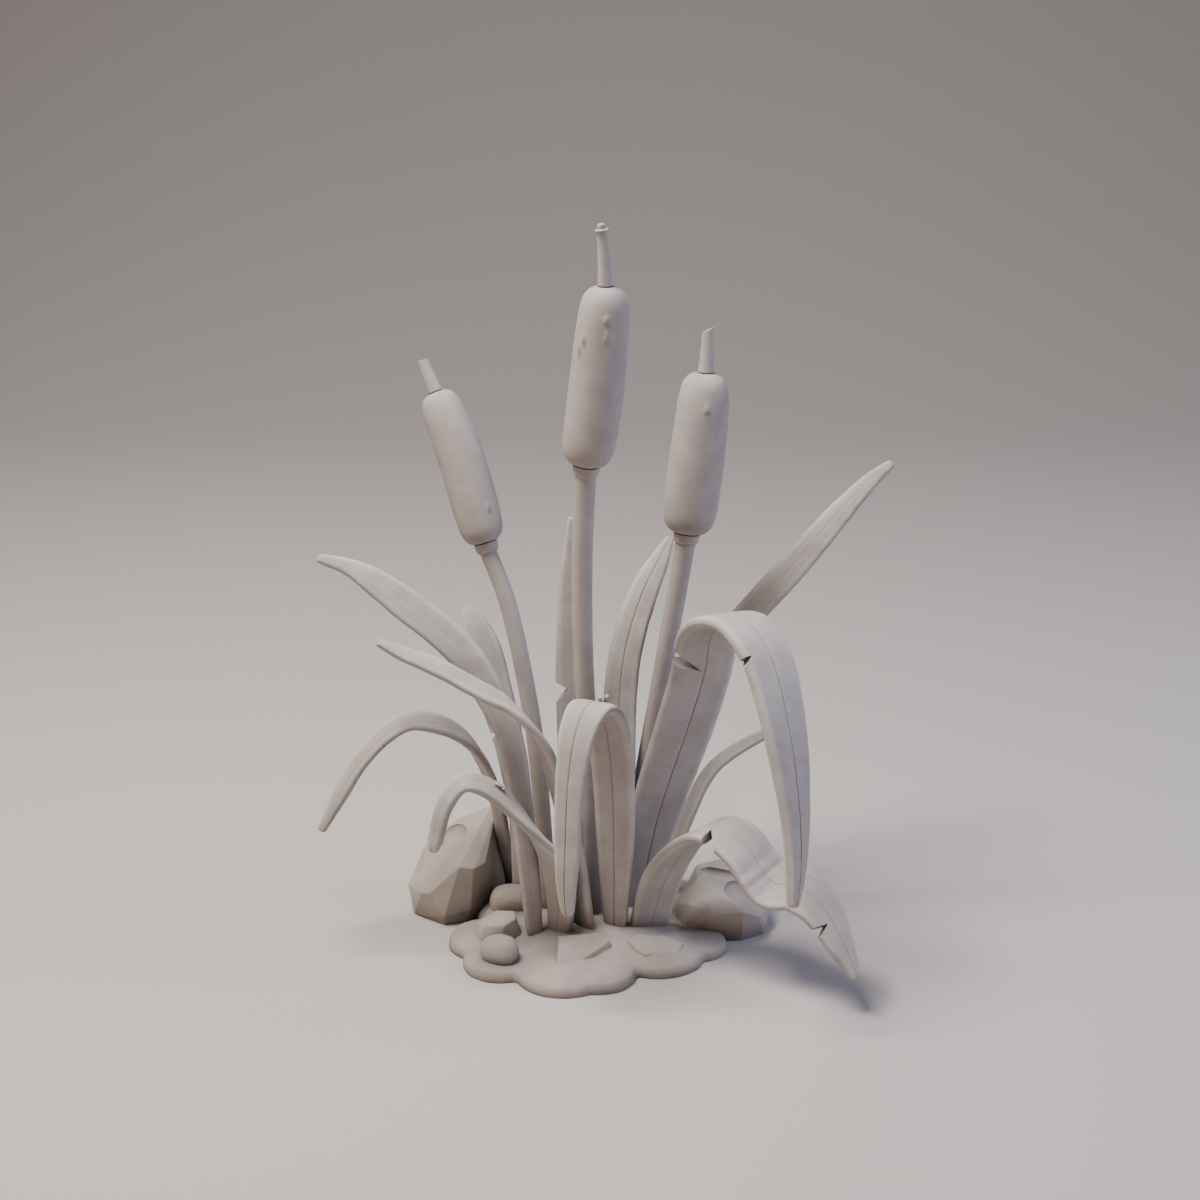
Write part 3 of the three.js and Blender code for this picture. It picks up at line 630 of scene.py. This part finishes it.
# A line row is (x, y, z, width) in millimetres. "across" is the way the section lies, from foot to
# tip. A tear is (place, edge, inset, angle, depth, opening, tilt), and a crumb is (centre, half
# size, turn in degrees).
LEAVES = [
    {"node": "leaf_far_left", "thickness": 7.5, "crease": 0.15,
     "line": [(-55, 4, 9, 14), (-62, 8, 91, 19), (-73, 15, 185, 22), (-91, 20, 228, 26),
              (-109, 25, 258, 28), (-132, 28, 282, 29), (-157, 30, 302, 29), (-182, 32, 321, 24),
              (-204, 34, 334, 15), (-227, 35, 341, 8)],
     "across": [(-0.95, -0.2, -0.1), (-0.85, -0.3, -0.4), (-0.5, -0.6, -0.6), (-0.35, -0.6, -0.7)]},
    {"node": "leaf_left_over", "thickness": 7.5, "crease": 0,
     "line": [(-13, 9, 9, 24), (-22, 3, 95, 23), (-38, -5, 165, 22), (-49, -8, 199, 22),
              (-73, -8, 228, 20), (-98, -5, 242, 19), (-132, 0, 260, 17), (-159, 3, 270, 13),
              (-178, 5, 279, 7.5)],
     "across": [(0.75, -0.6, 0), (0.55, -0.8, -0.1), (0.3, -0.75, -0.55), (0.3, -0.7, -0.65)]},
    {"node": "leaf_left_arch", "thickness": 8, "crease": 0,
     "line": [(-78, 101, 9, 13), (-88, 86, 87, 14), (-97, 70, 135, 18), (-116, 50, 178, 20),
              (-147, 35, 198, 19), (-171, 25, 197, 18), (-199, 18, 171, 17), (-218, 14, 139, 14),
              (-233, 10, 111, 8)],
     "across": [(0.9, -0.4, 0), (0.6, -0.7, -0.3), (0.15, -0.75, -0.6), (0.5, -0.65, -0.5),
                (0.75, -0.55, -0.3)],
     "tears": [(5.45, 1, 7.2, 10, 5, 3, 0), (6.5, 1, 7.0, -10, 5, 2.5, 0)]},
    {"node": "leaf_front_left_arch", "thickness": 8, "crease": 0.35,
     "line": [(-35, 5, 9, 20), (-33, 0, 53, 30), (-38, -5, 87, 36), (-51, -12, 112, 34),
              (-69, -20, 140, 29), (-92, -29, 166, 21), (-112, -35, 173, 17), (-126, -40, 156, 15),
              (-133, -42, 131, 14), (-136, -43, 119, 10)],
     "across": [(0.85, -0.5, 0), (0.75, -0.6, -0.2), (0.3, -0.75, -0.55), (0.5, -0.65, -0.5),
                (0.8, -0.5, -0.3)],
     "crumbs": [((-84, -24, 166), (3.2, 2.4, 2.2), (20, 30, 15)),
                ((-80, -23, 163), (2.2, 2, 1.6), (50, 10, 40))]},
    {"node": "leaf_left_upright", "thickness": 7, "crease": 0.15,
     "line": [(-70, 60, 9, 14), (-71, 78, 86, 16), (-79, 91, 153, 26), (-89, 96, 192, 30),
              (-99, 106, 234, 29), (-109, 116, 256, 21), (-114, 124, 265, 10)],
     "across": [(-0.95, 0.2, 0), (-0.95, 0, -0.1), (-0.9, -0.2, -0.3)],
     "tears": [(2.2, 1, 6, 0, 14, 12, 0)]},
    {"node": "leaf_middle_upright", "thickness": 7, "crease": 0.25,
     "line": [(-19, 56, 9, 14), (-22, 60, 113, 24), (-24, 65, 204, 27), (-25, 70, 257, 24),
              (-26, 75, 309, 16), (-25, 78, 343, 9), (-24, 80, 360, 6)],
     "across": [(-1, 0, 0), (-1, 0, 0)],
     "tears": [(2.17, 1, 3, -10, 15, 26, 0)]},
    {"node": "leaf_right_upright", "thickness": 7.5, "crease": 0.8,
     "line": [(11, 60, 9, 18), (16, 70, 109, 28), (17, 85, 196, 29), (24, 95, 247, 28),
              (38, 108, 288, 25), (51, 118, 312, 17), (59, 125, 327, 8)],
     "across": [(-1, 0.1, 0), (-0.95, 0.2, 0.1), (-0.85, 0.3, 0.3)]},
    {"node": "leaf_far_right", "thickness": 7.5, "crease": 0.3,
     "line": [(36, 98, 9, 16), (46, 100, 105, 22), (66, 105, 174, 24), (97, 112, 226, 25),
              (139, 118, 275, 26), (167, 122, 306, 26), (197, 127, 342, 23), (228, 132, 376, 15),
              (246, 135, 391, 8)],
     "across": [(-0.95, 0.2, 0.1), (-0.8, 0.4, 0.3), (-0.5, 0.55, 0.55)]},
    {"node": "leaf_right_folded", "thickness": 9.5, "crease": 0.9,
     "line": [(30, 48, 9, 22), (46, 40, 106, 46), (70, 30, 192, 54), (84, 20, 250, 56),
              (88, -2, 296, 57), (110, -33, 313, 58), (131, -60, 292, 55), (144, -84, 243, 47),
              (151, -100, 195, 35), (154, -112, 150, 22), (152, -120, 109, 10)],
     "across": [(0.92, 0.35, 0), (0.92, 0.35, -0.05), (0.75, 0.65, -0.15), (0.72, 0.7, -0.1),
                (0.7, 0.7, 0)],
     "tears": [(3.1, -1, 2, 33, 42, 15, 24), (5.94, -1, 20.5, 23, 18, 15, 0)]},
    {"node": "leaf_right_young", "thickness": 6.5, "crease": 0.1,
     "line": [(50, 78, 9, 11), (67, 80, 60, 12), (79, 84, 94, 14), (91, 88, 120, 14),
              (107, 92, 138, 13), (131, 97, 152, 11), (152, 101, 161, 9), (168, 104, 166, 7)],
     "across": [(-0.9, 0.4, 0), (-0.5, 0.7, 0.3), (-0.3, 0.75, 0.4)]},
    {"node": "leaf_front_folded", "thickness": 8.5, "crease": 0.9,
     "line": [(13, 12, 9, 18), (13, 4, 95, 32), (11, -8, 169, 36), (5, -25, 224, 37),
              (-7, -48, 246, 36), (-18, -66, 230, 31), (-24, -76, 187, 25), (-26, -82, 136, 22),
              (-27, -85, 104, 17), (-26, -86, 84, 10)],
     "across": [(0.9, -0.2, 0), (0.9, -0.35, 0), (0.9, -0.35, 0)],
     "crumbs": [((0, -44, 250), (1.6, 2.6, 2.6), (0, 0, 10)),
                ((5, -42, 250), (1.6, 2.4, 2.8), (0, 10, -10))]},
    {"node": "leaf_right_low", "thickness": 8.5, "crease": 0.6, "ripple": (4.9, 6.2, 1.0),
     "line": [(41, 18, 9, 34), (51, 8, 62, 40), (68, -4, 99, 42), (92, -18, 123, 44),
              (116, -32, 116, 46), (128, -40, 101, 47), (137, -46, 90, 47), (146, -52, 87, 44),
              (160, -61, 90, 42), (178, -72, 80, 40), (194, -90, 55, 26), (204, -103, 35, 10)],
     "across": [(0.95, 0.3, 0), (0.8, 0.6, 0.1), (0.4, 0.75, 0.5), (0.4, 0.75, 0.5), (0.5, 0.75, 0.4)],
     "tears": [(3.12, -1, 6, 12, 26, 17, 0), (9.46, -1, 4.5, 13, 20, 15, 0)]},
]
wander = bpy.data.textures.new("leaf_wander", "CLOUDS")
wander.noise_scale = 0.016
for spec in LEAVES:
    leaf = strap_leaf(spec["node"] + "_strap", spec["line"], spec["across"], spec["thickness"],
                      spec["crease"], spec.get("ripple"))
    apply_modifier(leaf, "DISPLACE", texture=wander, strength=1.0 * MM, mid_level=0.5,
                   texture_coords="LOCAL")
    for cut in spec.get("tears", []):
        tear(leaf, spec["line"], spec["across"], *cut)
    for bit in spec.get("crumbs", []):
        crumb(leaf, *bit)
    make_active(leaf)
    bpy.ops.object.shade_smooth_by_angle(angle=math.radians(38))
    finish_piece(leaf, leaf_clay, "leaf", spec["node"])

# ---------------------------------------------------------------- studio
# A plain pale floor that curves up into a wall all round, one soft light overhead to the left, a
# weak warm fill from the front left and a cool one from the right.
deselect_all()
bpy.ops.mesh.primitive_plane_add(size=6.4, location=(0, 0, -0.0002))
floor = bpy.context.object
floor.name = "floor"
settle(floor)
bpy.ops.object.mode_set(mode="EDIT")
bpy.ops.mesh.select_mode(type="EDGE")
bpy.ops.mesh.select_all(action="SELECT")
bpy.ops.mesh.extrude_edges_move(TRANSFORM_OT_translate={"value": (0, 0, 5)})
bpy.ops.object.mode_set(mode="OBJECT")
apply_modifier(floor, "BEVEL", width=1.6, segments=24, limit_method="ANGLE",
               angle_limit=math.radians(30))
bpy.ops.object.shade_smooth()
paper = bpy.data.materials.new("pale_paper")
paper.use_nodes = True
paper.node_tree.nodes["Principled BSDF"].inputs["Base Color"].default_value = linear("#b3ada8")
paper.node_tree.nodes["Principled BSDF"].inputs["Roughness"].default_value = 0.9
floor.data.materials.append(paper)


def soft_light(name, place, size, power, colour):
    deselect_all()
    bpy.ops.object.light_add(type="AREA", location=place)
    light = bpy.context.object
    light.name = name
    light.data.size = size
    light.data.energy = power
    light.data.color = linear(colour)[:3]
    light.rotation_euler = (Vector((0, 0, 0.2)) - Vector(place)).to_track_quat("-Z", "Y").to_euler()


soft_light("overhead", (-0.6, -0.12, 1.95), 0.8, 78, "#fffaf5")
soft_light("warm_left", (-1.7, -1.3, 0.6), 0.9, 5, "#ffcfa8")
soft_light("cool_right", (1.9, -0.2, 1.2), 0.9, 29, "#c8d4ff")

world = bpy.data.worlds.new("room")
world.use_nodes = True
world.node_tree.nodes["Background"].inputs["Color"].default_value = linear("#cbc0b8")
world.node_tree.nodes["Background"].inputs["Strength"].default_value = 0.1
bpy.context.scene.world = world

# Long lens from a little above, looking down at the middle of the clump.
CAMERA_PITCH = math.radians(20)
CAMERA_DISTANCE = 1.802
aim = Vector((0, 0, 0.3184))
deselect_all()
bpy.ops.object.camera_add(
    location=aim + CAMERA_DISTANCE * Vector((0, -math.cos(CAMERA_PITCH), math.sin(CAMERA_PITCH))),
    rotation=(math.radians(90) - CAMERA_PITCH, 0, 0))
camera = bpy.context.object
camera.data.sensor_width = 36
camera.data.lens = 67.2
bpy.context.scene.camera = camera
